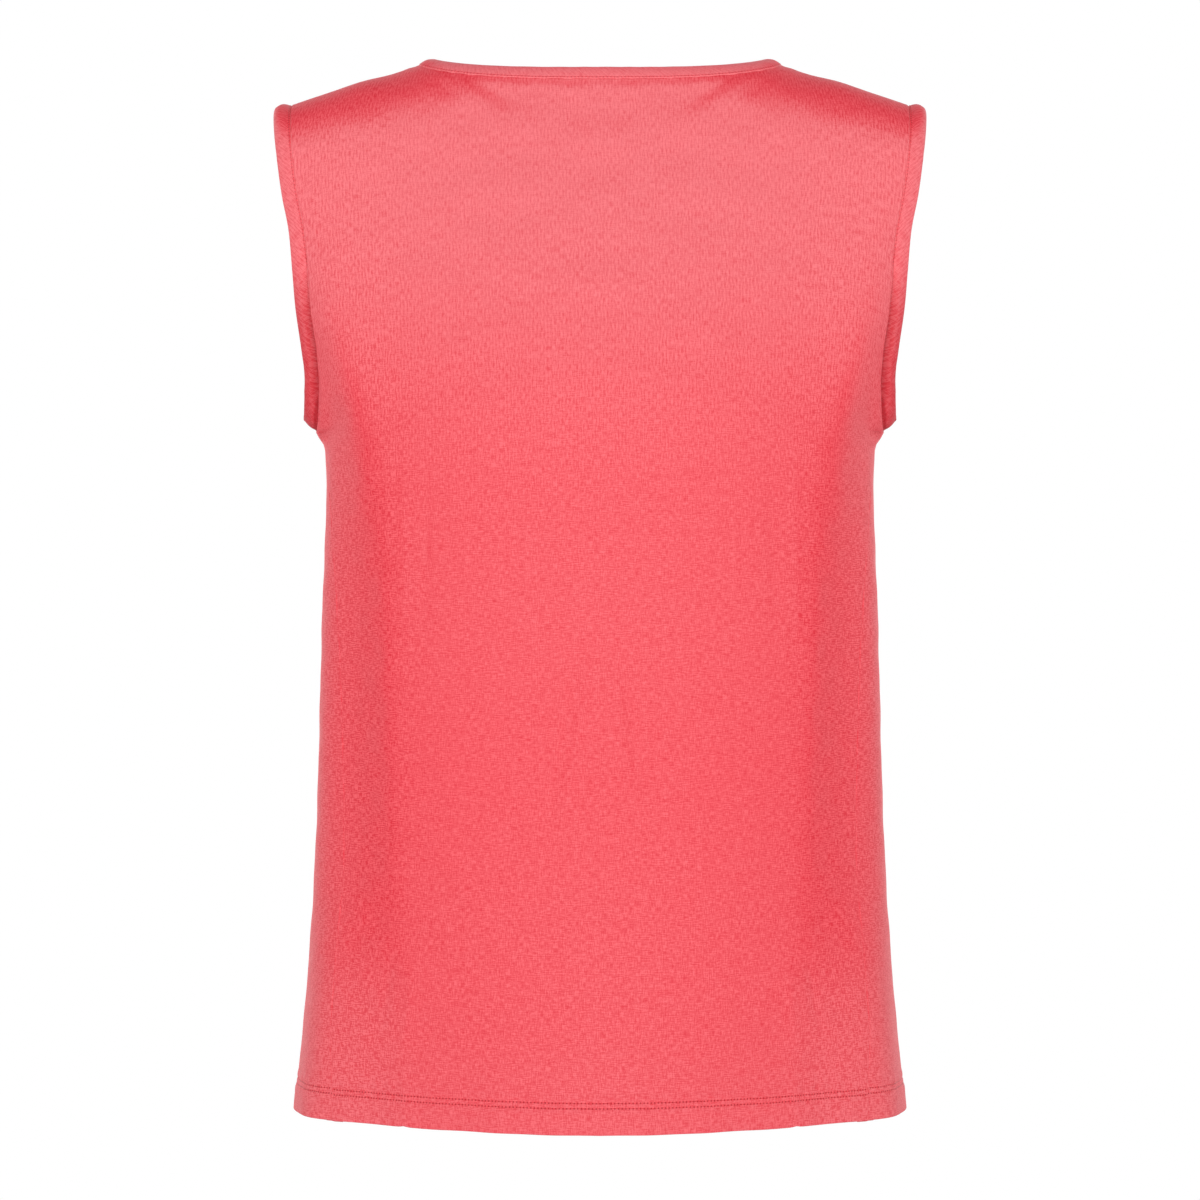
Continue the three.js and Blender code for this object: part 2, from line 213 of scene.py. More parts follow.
def fold_depth(angle, z):
    """How far the soft folds move the cloth: for each fold a bell across it, times a long sine
    down its length."""
    depth = np.zeros(np.broadcast(angle, z).shape)
    for fold in FOLDS:
        along = np.clip((fold["top"] - z) / (fold["top"] - fold["foot"]), 0, 1)
        centre = np.radians(mix(fold["angle"], fold["foot_angle"], along))
        fade = np.sin(np.pi * along).clip(0) ** FOLD_FADE
        depth += fold["out"] * fade * bell(angle, centre, math.radians(fold["width"]))
    return depth


def seam_flare(angle, z):
    """How far the cloth stands out sideways at the foot of the armhole: a bell round the seam."""
    edge = np.where(angle >= UNDERARM_ANGLE, armhole_angle(BACK, z), armhole_angle(FRONT, z))
    reach = np.where(z > UNDERARM_Z, FLARE["above"], FLARE["below"])
    return FLARE["out"] * bell(angle, edge, FLARE["turn"]) * bell(z, UNDERARM_Z, reach)


def body_point(angle, z):
    """Points of the body's outer face. The section is a superellipse, and under the shoulder line
    its depth grows by a quarter circle and then eases out to the full depth."""
    power = 2 / table_value(SECTIONS, "power", z)
    half = table_value(SECTIONS, "half", z)
    depth = np.where(
        angle > 0, table_value(SECTIONS, "back", z), table_value(SECTIONS, "front", z)
    )
    x = half * np.maximum(np.cos(angle), 0) ** power
    full = depth * np.abs(np.sin(angle)) ** power
    below = np.maximum(shoulder_line(x) - z, 0)
    turn = np.clip(below / SHOULDER_RADIUS, 0, 1)
    reach = np.clip(below / SHOULDER_REACH, 0, 1)
    rounded = np.minimum(full, SHOULDER_RADIUS) * np.sqrt(1 - (1 - turn) ** 2)
    eased = np.maximum(full - SHOULDER_RADIUS, 0) * (1 - (1 - reach) ** SHOULDER_EASE)
    across, back = np.cos(angle) / half, np.sin(angle) / depth
    scale = fold_depth(angle, z) / np.hypot(across, back)
    return np.stack(
        np.broadcast_arrays(
            x + scale * across + seam_flare(angle, z),
            np.sign(angle) * (rounded + eased) + scale * back,
            z,
        ),
        axis=-1,
    )


def unit(vectors):
    """Vectors brought to a length of one."""
    return vectors / np.maximum(np.linalg.norm(vectors, axis=-1, keepdims=True), 1e-12)


def body_normal(angle, z):
    """The body's outward direction, from the cross product of two short steps on its surface."""
    turn, rise = 0.01, 0.0005
    across = body_point(angle + turn, z) - body_point(angle - turn, z)
    up = body_point(angle, z + rise) - body_point(angle, z - rise)
    return unit(np.cross(across, up))


def neck_seam_z(cut, x):
    """Height of the neck seam: level at the middle, curving up to the shoulder line."""
    share = np.clip(1 - (x / SEAM_HALF) ** cut["power"], 0, 1)
    return shoulder_line(SEAM_HALF) - cut["drop"] * share ** cut["round"]


NECK_SHARE = 4 / 7  # how much of a panel's columns end at the neck seam


def column_top(cut, share):
    """Where a column ends: on the neck seam for the inner shares, closer together near its corner,
    and on the shoulder line for the outer ones."""
    inner = SEAM_HALF * np.sin(np.pi / 2 * np.minimum(share / NECK_SHARE, 1))
    outer = mix(SEAM_HALF, TIP_X, np.clip((share - NECK_SHARE) / (1 - NECK_SHARE), 0, 1))
    x = np.where(share <= NECK_SHARE, inner, outer)
    return x, np.where(share <= NECK_SHARE, neck_seam_z(cut, x), shoulder_line(x))


def yoke_place(cut, share, rise):
    """Angle and height above the underarm, for a share of the width and of the rise."""
    top_x, top_z = column_top(cut, share)
    middle = cut["face"] * np.pi / 2
    face_tip = cut["face"] * TIP_ANGLE
    top_share = (cut["face"] * angle_at(top_x, top_z) - middle) / (face_tip - middle)
    edge = armhole_angle(cut, mix(UNDERARM_Z, TIP_Z, rise))
    angle = mix(middle, edge, mix(share, top_share, rise))
    return angle, mix(UNDERARM_Z, top_z, rise)


def mesh_object(name, points, faces):
    """A smooth mesh of points and faces, put into the scene."""
    mesh = bpy.data.meshes.new(name)
    mesh.from_pydata(points.reshape(-1, 3).tolist(), [], faces)
    mesh.polygons.foreach_set("use_smooth", np.ones(len(mesh.polygons), bool))
    piece = bpy.data.objects.new(name, mesh)
    bpy.context.scene.collection.objects.link(piece)
    return piece


def grid_object(name, points, cloth, joined=False, turned=False):
    """A sheet of quads through a grid of points. The cloth coordinates become its UV map. Joined
    closes the last column onto the first, and turned makes the sheet face the other way."""
    rows, columns = points.shape[:2]
    index = np.arange(rows * columns).reshape(rows, columns)
    if joined:
        index = np.hstack([index, index[:, :1]])
    quads = np.stack([index[:-1, :-1], index[:-1, 1:], index[1:, 1:], index[1:, :-1]], axis=-1)
    corners = np.stack([cloth[:-1, :-1], cloth[:-1, 1:], cloth[1:, 1:], cloth[1:, :-1]], axis=-2)
    if turned:
        quads, corners = quads[..., ::-1], corners[..., ::-1, :]
    piece = mesh_object(name, points, quads.reshape(-1, 4).tolist())
    piece.data.uv_layers.new(name="cloth").data.foreach_set("uv", corners.ravel())
    return piece


def sheet_area(points):
    """Area of the cloth in a grid: for each quad, half the cross product of its diagonals."""
    first = points[1:, 1:] - points[:-1, :-1]
    second = points[1:, :-1] - points[:-1, 1:]
    return float(np.linalg.norm(np.cross(first, second), axis=-1).sum() / 2)


def smooth_step(value, start, end):
    """Zero before start, one after end, and a smooth cubic between them."""
    share = np.clip((value - start) / (end - start), 0, 1)
    return share * share * (3 - 2 * share)


def edge_roll(points, edge, axis, radius):
    """How far cloth lies in near a seam: a quarter circle over the last stretch before the edge,
    with the distance measured square to the edge."""
    along = unit(np.gradient(edge, axis=axis))
    away = points - edge
    away = away - along * (away * along).sum(axis=-1, keepdims=True)
    short = np.maximum(radius - np.linalg.norm(away, axis=-1), 0)
    return radius - np.sqrt(np.maximum(radius**2 - short**2, 0))


HEM_TURN = 0.0190  # height of the raw edge of the turn-up
HEM_ROLL = 0.0013  # from the outer face of the hem to the face of its turn-up
TURN_ROWS = 6  # rows of the grid in the turn-up, and in the roll of the hem's edge
ROLL_ROWS = 6
STITCH_ROWS = np.array([0.0148, 0.0177])  # the hem's two rows of stitches, above its edge
STITCH_PITCH = 0.00205
SEAM_ROLL = 0.00045
ARMHOLE_ROLL = 0.0008

NECK_COLUMNS = 53  # columns of half a panel that end at the neck seam, and at the shoulder seam
SHOULDER_COLUMNS = 40
FACE_ROWS = 108  # rows from above the hem to the underarm, and from there to the shoulder
YOKE_ROWS = 66
WIDTH_STEPS = 24  # steps in which the cloth's width is added up

# Places of a half panel's columns, as shares of its width. They crowd beside the edge.
SHARES = np.concatenate([
    np.linspace(0, NECK_SHARE, NECK_COLUMNS),
    np.linspace(NECK_SHARE, 0.988, SHOULDER_COLUMNS)[1:],
    [0.9925, 0.9958, 0.9980, 0.9993, 1],
])


def panel_rows():
    """Heights of the rows up to the underarm, the rises above it, and how far each row lies inside:
    the turn-up comes first, then the roll of the hem edge, then the outer face."""
    turn = np.linspace(HEM_TURN, 0.0025, TURN_ROWS)
    roll = np.radians(np.linspace(-75, 75, ROLL_ROWS))
    beside_stitches = np.array([-0.8, -0.4, -0.18, 0, 0.18, 0.4, 0.8]) / 1000
    near = np.concatenate([
        np.arange(0.0011, 0.0136, 0.0009),
        STITCH_ROWS[0] + beside_stitches,
        [STITCH_ROWS.mean()],
        STITCH_ROWS[1] + beside_stitches,
        np.arange(0.0194, 0.0250, 0.0011),
    ])
    far = np.linspace(near[-1], UNDERARM_Z - HEM_Z, FACE_ROWS)[1:]
    radius = HEM_ROLL / 2
    heights = np.concatenate([turn, radius * (1 - np.cos(roll)), near, far])
    inside = np.concatenate([
        np.full(TURN_ROWS, HEM_ROLL),
        radius * (1 - np.sin(roll)),
        np.zeros(near.size + far.size),
    ])
    rises = (1 - np.cos(np.pi * np.linspace(0, 1, YOKE_ROWS))) / 2
    return HEM_Z + heights, inside, rises[1:]


def panel_places(cut):
    """Angles, heights and inward offsets of half a panel's grid, from the middle to its edge."""
    shares = SHARES[None, :]
    heights, inside, rises = panel_rows()
    middle = cut["face"] * np.pi / 2
    side = np.radians(table_value(SIDE_SEAM, "angle", heights))[:, None]
    yoke_angle, yoke_z = yoke_place(cut, shares, rises[:, None])
    angle = np.vstack([mix(middle, side, shares), yoke_angle])
    z = np.vstack([np.repeat(heights[:, None], SHARES.size, axis=1), yoke_z])
    return angle, z, np.concatenate([inside, np.zeros(rises.size)])[:, None]


def cloth_width(cut, angle, z):
    """Width of cloth from the middle line to each point, added up along its level section."""
    total = np.zeros(angle.shape)
    middle = cut["face"] * np.pi / 2
    before = body_point(np.full(angle.shape, middle), z)
    for share in np.linspace(0, 1, WIDTH_STEPS + 1)[1:]:
        here = body_point(mix(middle, angle, share), z)
        total += np.linalg.norm(here - before, axis=-1)
        before = here
    return total


# Level grooves and swells of the hem: height above its edge, half width, and how far out.
HEM_BELLS = named_rows("at wide out", [
    (STITCH_ROWS[0], 0.0004, -0.00024),
    (STITCH_ROWS[0], 0.0013, -0.000144),
    (STITCH_ROWS[1], 0.0004, -0.00024),
    (STITCH_ROWS[1], 0.0013, -0.000144),
    (0.0206, 0.0016, 0.00022),
    (0.0118, 0.0022, 0.000132),
])


def hem_relief(width, height):
    """How far the hem stands out: it is drawn in at its two rows of stitches and between them,
    swells above them, and ripples unevenly where the stitching gathers the cloth. A level crease
    and a slanting pucker lie above it on each side. Places are in metres out from the middle and up
    from the hem edge."""
    drawn = sum(row["out"] * bell(height, row["at"], row["wide"]) for row in HEM_BELLS)
    turned_up = 0.0009 * (1 - smooth_step(height, 0.010, 0.024))
    wave = np.sin(width * 510 + 2.1 * np.sin(width * 93)) + 0.7 * np.sin(width * 331 + 1.3)
    ripple = 0.00022 * wave * bell(height, 0.0175, 0.0075)
    wander = np.sin(width * 118 + 0.6) + 0.6 * np.sin(width * 205 + 2.0) + 0.5 * np.sin(width * 61)
    edge = 0.00035 * wander * bell(height, 0, 0.030)
    crease = -0.0009 * bell(height, 0.031 + 0.0015 * np.sin(width * 40), 0.0032)
    crease *= smooth_step(width, 0.055, 0.080) * (1 - smooth_step(width, 0.140, 0.165))
    out, up = width - 0.132, height - 0.0215
    pucker = -0.0006 * bell(0.75 * out + 0.66 * up, 0, 0.0045)
    pucker *= bell(0.75 * up - 0.66 * out, 0, 0.0010)
    return turned_up + drawn + ripple + edge + crease + pucker


def hem_lift(width, height):
    """The hem edge is not quite level: it wavers, and has a small nick near each side."""
    waver = np.sin(width * 95 + 1.0) + 0.7 * np.sin(width * 171 + 0.3)
    nick = 0.0005 * bell(width, 0.118, 0.0022) * bell(height, 0, 0.005)
    return 0.00010 * waver * bell(height, 0, 0.020) + nick


def soft_waves(width, height):
    """Shallow hollows and swells of the hanging cloth, broader than they are high, calmer beside
    the side seams. Each is a wandering sine up the cloth times a sine across it."""
    wander = 0.012 * np.sin(width * 31 + height * 9)
    broad = np.sin((height + wander) * 148 + 2.4 * np.sin(width * 37 + 0.5))
    narrow = np.sin((height - wander) * 233 + 1.7 * np.sin(width * 52 + 2.0))
    waves = broad * np.sin(width * 71 + 1.1) + 0.7 * narrow * np.sin(width * 97 + 0.4)
    return mix(0.00034, 0.00016, smooth_step(width, 0.14, 0.19)) * waves


# Faint creases left by folding and wear: where each starts and ends, in distance from the middle
# and height above the hem edge, how wide it is and how far it stands out.
CREASES = named_rows("start end wide out", [
    ((0.001, 0.292), (0.024, 0.160), 0.0026, 0.00080),
    ((0.006, 0.280), (0.032, 0.165), 0.0030, -0.00095),
    ((0.056, 0.258), (0.027, 0.205), 0.0026, -0.00075),
    ((0.012, 0.225), (0.004, 0.120), 0.0030, -0.00060),
    ((0.086, 0.472), (0.080, 0.440), 0.0032, -0.00090),
    ((0.066, 0.436), (0.112, 0.428), 0.0045, 0.00050),
    ((0.030, 0.518), (0.078, 0.512), 0.0050, -0.00050),
    ((0.104, 0.100), (0.122, 0.036), 0.0038, 0.00070),
    ((0.118, 0.112), (0.140, 0.040), 0.0040, -0.00070),
    ((0.060, 0.048), (0.128, 0.040), 0.0045, 0.00050),
])


def fine_creases(width, height):
    """Long shallow ridges and hollows: each is a bell across its line, fading to nothing at both
    ends by a sine."""
    total = np.zeros(width.shape)
    for crease in CREASES:
        start, end = np.array(crease["start"]), np.array(crease["end"])
        reach = np.linalg.norm(end - start)
        along_x, along_z = (end - start) / reach
        step_x, step_z = width - start[0], height - start[1]
        along = (step_x * along_x + step_z * along_z) / reach
        off = step_x * along_z - step_z * along_x + 0.0015 * np.sin(along * 7)
        total += crease["out"] * bell(off, 0, crease["wide"]) * np.sin(np.pi * np.clip(along, 0, 1))
    return total


def below_neck(cut, points):
    """How far points lie below the neck seam, or below its corner where they are outside it."""
    return neck_seam_z(cut, np.minimum(np.abs(points[..., 0]), SEAM_HALF)) - points[..., 2]


def neck_puckers(cut, points):
    """Small level dents and a shallow ditch just under the neck seam, where its stitching draws the
    cloth in."""
    x, below = points[..., 0], below_neck(cut, points)
    near = bell(below, 0.010, 0.008) * bell(np.abs(x), 0.062, 0.030)
    dent = -0.0007 * smooth_step(below, 0.001, 0.008) * near * (1 + np.sin(x * 210 + below * 150))
    ditch = -0.00022 * (1 + np.sin(x * 700 + 1.8 * np.sin(x * 131))) * bell(below, 0.0015, 0.0022)
    return dent + ditch


def panel_face(cut, angle, z):
    """Points, outward directions, widths and heights of a panel's face with its relief. The waves
    fall away to nothing at the neck seam, so that the cloth meets the band there."""
    normal = body_normal(angle, z)
    width = cloth_width(cut, angle, z)
    height = z - HEM_Z - cut["hem_rise"]
    points = body_point(angle, z)
    quiet = smooth_step(height, 0.025, 0.060)
    waves = quiet * soft_waves(width, height) + fine_creases(width, height)
    waves *= smooth_step(below_neck(cut, points), 0.0005, 0.0090)
    out = hem_relief(width, height) + waves + neck_puckers(cut, points)
    points = points + normal * out[..., None]
    points[..., 2] += hem_lift(width, height)
    return points, normal, width, height


STITCHED_HEIGHT = 0.024  # up to which the hem's cloth counts as level, so that its rows run true


def cloth_height(points, height):
    """Height of the cloth above its hem edge: the level height up to the hem's stitches, and from
    there the length that the panel's columns add up to."""
    lengths = np.linalg.norm(np.diff(points, axis=0), axis=-1)
    level = np.abs(np.diff(height, axis=0))
    steps = np.where(height[1:] < STITCHED_HEIGHT, np.maximum(level, 1e-6), lengths)
    total = np.vstack([np.zeros((1, height.shape[1])), np.cumsum(steps, axis=0)])
    face_row = TURN_ROWS + ROLL_ROWS
    return total - total[face_row] + height[face_row]


# Seam allowances, turned under beyond a panel's edges: how far back from the edge each line of
# points lies, how deep under the face, and how far that is along the cloth.
SIDE_ALLOWANCE = named_rows("back deep run", [
    (0.0003, 0.0013, 0.0010),
    (0.0030, 0.0016, 0.0037),
    (0.0060, 0.0016, 0.0067),
])
TOP_ALLOWANCE = named_rows("back deep run", [
    (0.0004, 0.0013, 0.0010),
    (0.0040, 0.0016, 0.0046),
])
ARMHOLE_SHARE = 0.25  # of the side allowance, which is all that lies beside the armhole


def panel_object(name, cut):
    """One panel: half a grid and its mirror image, rolled in along its seams, where the seam
    allowance lies back under the panel. Returns the piece, its greatest width and length, and its
    area."""
    angle, z, inside = panel_places(cut)
    points, normal, width, height = panel_face(cut, angle, z)
    points[:, 0, 0] = 0
    length = cloth_height(body_point(angle, z), height)
    beside_body = z[:, -1:] <= UNDERARM_Z
    edge_radius = np.where(beside_body, SEAM_ROLL, ARMHOLE_ROLL)
    side_roll = edge_roll(points, points[:, -1:], 0, edge_radius)
    top_roll = edge_roll(points, points[-1:], 1, SEAM_ROLL)
    depth = np.maximum(side_roll, top_roll) + inside
    edge, edge_normal = points[:, -1:], normal[:, -1:]
    towards = unit(points[:, -6:-5] - edge)
    towards = towards * np.where(beside_body, 1.0, ARMHOLE_SHARE)[..., None]
    grid = np.concatenate([points - normal * depth[..., None]] + [
        edge + towards * line["back"] - edge_normal * (line["deep"] + inside[..., None])
        for line in SIDE_ALLOWANCE
    ], axis=1)
    width = np.hstack([width] + [width[:, -1:] + line["run"] for line in SIDE_ALLOWANCE])

    def to_side(part):
        """Carries the last column on over the side allowance."""
        return np.concatenate([part] + [part[:, -1:]] * len(SIDE_ALLOWANCE), axis=1)

    length = to_side(length)
    down, under = to_side(unit(points[-5:-4] - points[-1:])), to_side(normal[-1:])
    top = np.concatenate([points[-1:], grid[-1:, points.shape[1]:]], axis=1)
    grid = np.concatenate([grid] + [
        top + down * line["back"] - under * line["deep"] for line in TOP_ALLOWANCE
    ])
    width = np.vstack([width] + [width[-1:]] * len(TOP_ALLOWANCE))
    length = np.vstack([length] + [length[-1:] + line["run"] for line in TOP_ALLOWANCE])
    grid = np.concatenate([grid[:, :0:-1] * [-1, 1, 1], grid], axis=1)
    cloth = np.stack([width, length], axis=-1)
    cloth = np.concatenate([cloth[:, :0:-1] * [-1, 1], cloth], axis=1)
    piece = grid_object(name, grid, cloth, turned=cut["face"] > 0)
    flat_width, flat_length = np.ptp(cloth, axis=(0, 1)).tolist()
    return piece, flat_width, flat_length, sheet_area(grid)


def link_new(tree, kind, values=(), **sources):
    """A new node of a kind, its sockets set from values or joined to the sources."""
    node = tree.nodes.new(kind)
    for socket, value in dict(values).items():
        node.inputs[socket].default_value = value
    for socket, source in sources.items():
        tree.links.new(source, node.inputs[socket.replace("_", " ")])
    return node


def feed(tree, sockets, sources):
    """Fills sockets from sources: a socket is joined, and a number or colour becomes the value."""
    for socket, source in zip(sockets, sources):
        if isinstance(source, bpy.types.NodeSocket):
            tree.links.new(source, socket)
        else:
            socket.default_value = source


def calc(tree, operation, *sources):
    """The result of a sum on sources that are sockets or numbers."""
    node = tree.nodes.new("ShaderNodeMath")
    node.operation = operation
    feed(tree, node.inputs, sources)
    return node.outputs[0]


def scaled(tree, source, scale, start=0.0):
    """A source times a scale, added to a start."""
    return calc(tree, "MULTIPLY_ADD", source, scale, start)


def step_between(tree, source, start, end):
    """A smooth step of a socket's value."""
    node = link_new(tree, "ShaderNodeMapRange", {"From Min": start, "From Max": end}, Value=source)
    node.interpolation_type = "SMOOTHSTEP"
    return node.outputs["Result"]


def blend(tree, first, second, share):
    """A mix of two numbers or sockets by a share."""
    node = tree.nodes.new("ShaderNodeMix")
    feed(tree, (node.inputs[2], node.inputs[3], node.inputs[0]), (first, second, share))
    return node.outputs[0]


def tint(tree, surface, colour, share, kind="MIX"):
    """A surface's colour mixed with another colour, or added to it, by a share."""
    node = tree.nodes.new("ShaderNodeMix")
    node.data_type = "RGBA"
    node.blend_type = kind
    feed(tree, (node.inputs[6], node.inputs[7], node.inputs[0]), (surface, colour, share))
    return node.outputs[2]


def two_colours(tree, share, stops):
    """A colour that runs between two stops, each a share and a colour."""
    ramp = link_new(tree, "ShaderNodeValToRGB", Fac=share)
    for element, (position, colour) in zip(ramp.color_ramp.elements, stops):
        element.position, element.color = position, colour
    return ramp.outputs["Color"]


def plain_material(name, finish):
    """A new material whose shader has its sockets set. Returns it, its tree and its shader."""
    material = bpy.data.materials.new(name)
    material.use_nodes = True
    shader = material.node_tree.nodes["Principled BSDF"]
    for socket, value in finish.items():
        shader.inputs[socket].default_value = value
    return material, material.node_tree, shader


JERSEY_FINISH = {
    "Roughness": 0.5,
    "Specular IOR Level": 0.12,
    "Sheen Weight": 0.015,
    "Sheen Roughness": 0.8,
    "Sheen Tint": (1.0, 0.75, 0.78, 1),
}
JERSEY_DARK = (0.800, 0.027, 0.047, 1)
JERSEY_PALE = (0.915, 0.102, 0.128, 1)
PAINTED_SHEEN = (0, 0.100, 0.098, 1)  # painted sheen: a pale film added to the colour, standing in for the lights' sheen on the cloth
PAINTED_SHADE = (0.430, 0.010, 0.018, 1)  # painted shade: the colour towards which the armhole bands darken under the arm and in the fold by their seam
PAINTED_SHADE_SHARE = {"under_arm": 0.44, "crease": 0.85}
CREASE_EDGE = (0.0078, 0.0052)  # distances from a band's seam between which the painted shade of its fold begins
CREASE_WANDER = 0.006
# painted shade: the dark colour in each needle hole, where only shadow lies between the stitches
NEEDLE_HOLE_SHADE = (0.440, 0.008, 0.014, 1)
HOLE_EDGE = (0.00058, 0.00024)  # distances from a hole's middle between which its painted shade begins
HOLE_SHARE = (0.95, 0.55)  # how much of the painted shade a hole has, low down and at the shoulders
BUMP = 0.00028

# Noise along the grain: features to the metre across the cloth and up it.
WALES = (1700, 260)
CRINKLES = (260, 1700)
SPECKLE = (2000, 1900)
CLOUDS = (60, 150)
RIBS = {"Scale": 150.0, "Distortion": 5.0, "Detail": 1.0, "Detail Scale": 0.6}

# How much each noise counts for in the weave, and the weave in the relief: in the middle of the
# top, and what that goes over to in other parts, which are named below.
LEVEL_SHARE = {"middle": 0.56, "lower": 0.50, "upper": 0.36}
RELIEF_SHARE = {"middle": 0.55, "upper": 0.35, "sides": 1.0}
RIB_SHARE = 0.08
SPECKLE_SHARE = 0.22
CLOUD_SHARE = 0.04

# How strong the weave's contrast is and how pale its mean: in the middle of the top, and what
# other parts add to that. The sides add less near the shoulders and low down.
CONTRAST = {"middle": 4.7, "upper": 0.3, "lower": 0.6, "sides": 10.0, "under_arm": 8.0}
SIDE_LOSS = {"upper": -0.8, "lower": -0.35}
BIAS_CONTRAST = 0.75
# painted light: the mean is paler towards the shoulders, where the lights fall most
MEAN_SHADE = {"middle": 0.5, "upper": 0.06}

# Parts of the top that look different, each by the two heights, or the two distances from the
# middle, between which it begins.
HEIGHT_PARTS = {
    "upper": (-0.32, -0.15),
    "lower": (-0.38, -0.54),
    "hem": (-0.485, -0.560),
    "yoke": (-0.200, -0.120),
    "under_arm": (-0.115, -0.165),
    "under_seam": (-0.140, -0.168),
}
WIDTH_PARTS = {"aside": (0.095, 0.145), "rim": (0.130, 0.152), "neck": (0.108, 0.085)}

# The same for the way the cloth faces, which sets where the painted sheen shows: straight out of
# the back or front, not edge on, and not up.
FLAT_ON = (0.68, 0.94)
NOT_EDGE_ON = (0.20, 0.52)
UPRIGHT = (0.74, 0.30)

# How far the hem and the outermost sides count as flat on for the painted sheen, and how much more
# the hem's sides do.
RIM_FLATNESS = 0.60
HEM_FLATNESS = {"middle": 1.0, "sides": 0.30}

# How strong the painted sheen is, at shares of the height from just under the hem up to the
# shoulders: strongest up top, where the lights fall most.
PALE_RANGE = {"From Min": -0.64, "From Max": 0.0}
PALE_LEVELS = [
    (0.04, 0.50), (0.12, 0.35), (0.22, 0.32), (0.35, 0.27), (0.50, 0.36), (0.60, 0.36),
    (0.69, 0.50), (0.78, 0.78), (0.86, 0.95), (0.98, 1.02),
]
WEAVE_PALENESS = (0.5, 0.75)  # how much the weave's own shade adds to the painted sheen, and what it is without


def grain_noise(tree, grain, scale):
    """Noise with so many features to the metre across the cloth and up it."""
    squeezed = link_new(tree, "ShaderNodeMapping", {"Scale": (*scale, 1)}, Vector=grain)
    values = {"Scale": 1.0, "Detail": 1.0, "Roughness": 0.5}
    noise = link_new(tree, "ShaderNodeTexNoise", values, Vector=squeezed.outputs["Vector"])
    return noise.outputs["Fac"]


def jersey_weave(tree, grain, part):
    """The weave: upright wales mixed with short level crinkles, which count for less towards the
    shoulders, a trace of ribs up there, and a speckle of loops over all."""
    wales, crinkles, speckle = (
        grain_noise(tree, grain, scale) for scale in (WALES, CRINKLES, SPECKLE)
    )
    ribs = link_new(tree, "ShaderNodeTexWave", RIBS, Vector=grain).outputs["Fac"]
    level = blend(tree, LEVEL_SHARE["middle"], LEVEL_SHARE["lower"], part["lower"])
    level = blend(tree, level, LEVEL_SHARE["upper"], part["upper"])
    lines = blend(tree, wales, crinkles, level)
    lines = blend(tree, lines, ribs, scaled(tree, part["upper"], RIB_SHARE))
    return blend(tree, lines, speckle, SPECKLE_SHARE)


def jersey_shade(tree, weave, clouds, part, bias):
    """How dark or pale the weave makes each point: its distance from the mean times a contrast,
    which is greater at the sides and low down, and on the bands greater under the arm."""
    side_part = part["aside"]
    for place, loss in SIDE_LOSS.items():
        side_part = scaled(tree, side_part, scaled(tree, part[place], loss, 1.0))
    contrast = scaled(tree, part["upper"], CONTRAST["upper"], CONTRAST["middle"])
    contrast = scaled(tree, part["lower"], CONTRAST["lower"], contrast)
    contrast = scaled(tree, side_part, CONTRAST["sides"], contrast)
    if bias:
        contrast = scaled(tree, part["under_arm"], CONTRAST["under_arm"], contrast)
        contrast = scaled(tree, contrast, BIAS_CONTRAST)
    worn = blend(tree, weave, clouds, CLOUD_SHARE)
    # painted light: the mean shade is paler towards the shoulders
    mean_shade = scaled(tree, part["upper"], MEAN_SHADE["upper"], MEAN_SHADE["middle"])
    return scaled(tree, calc(tree, "SUBTRACT", worn, 0.5), contrast, mean_shade)


def painted_sheen_share(tree, site, shade, part, bias):
    """How strong the painted sheen is, a pale film over the weave that stands in for the lights'
    sheen: a level by height, times how flat on it faces, or in the yoke how upright it stands, and
    a little more where the weave itself is pale."""
    height = link_new(tree, "ShaderNodeMapRange", PALE_RANGE, Value=site.outputs["Z"])
    pale = link_new(tree, "ShaderNodeValToRGB", Fac=height.outputs["Result"])
    stops = pale.color_ramp.elements
    stops.remove(stops[1])
    for number, (share, level) in enumerate(PALE_LEVELS):
        stop = stops.new(share) if number else stops[0]
        stop.position = share
        stop.color = (level, level, level, 1)
    normal = link_new(tree, "ShaderNodeNewGeometry").outputs["Normal"]
    facing = link_new(tree, "ShaderNodeSeparateXYZ", Vector=normal)
    turned_back = calc(tree, "ABSOLUTE", facing.outputs["Y"])
    hem = scaled(tree, part["aside"], HEM_FLATNESS["sides"], HEM_FLATNESS["middle"])
    rim = scaled(tree, part["rim"], RIM_FLATNESS)
    side_part = calc(tree, "MAXIMUM", rim, scaled(tree, part["hem"], hem))
    side_part = scaled(tree, step_between(tree, turned_back, *NOT_EDGE_ON), side_part)
    flatness = calc(tree, "MAXIMUM", step_between(tree, turned_back, *FLAT_ON), side_part)
    upright = step_between(tree, facing.outputs["Z"], *UPRIGHT)
    if bias:
        upright = calc(tree, "MAXIMUM", upright, part["neck"])
    flatness = blend(tree, flatness, upright, part["yoke"])
    lively = link_new(tree, "ShaderNodeClamp", Value=shade).outputs["Result"]
    painted_sheen = scaled(tree, pale.outputs["Color"], flatness)
    return scaled(tree, painted_sheen, scaled(tree, lively, *WEAVE_PALENESS))


def painted_fold_shade(tree, surface, clouds, place, part):
    """Paints shade into a band's colour: a little under the arm, and most in the fold beside its
    seam, up to an uneven line."""
    from_seam = scaled(tree, clouds, CREASE_WANDER, place.outputs["Y"])
    crease = scaled(tree, step_between(tree, from_seam, *CREASE_EDGE), part["under_seam"])
    crease = scaled(tree, crease, PAINTED_SHADE_SHARE["crease"])
    under_arm = scaled(tree, part["under_arm"], PAINTED_SHADE_SHARE["under_arm"])
    return tint(tree, surface, PAINTED_SHADE, calc(tree, "MAXIMUM", under_arm, crease))


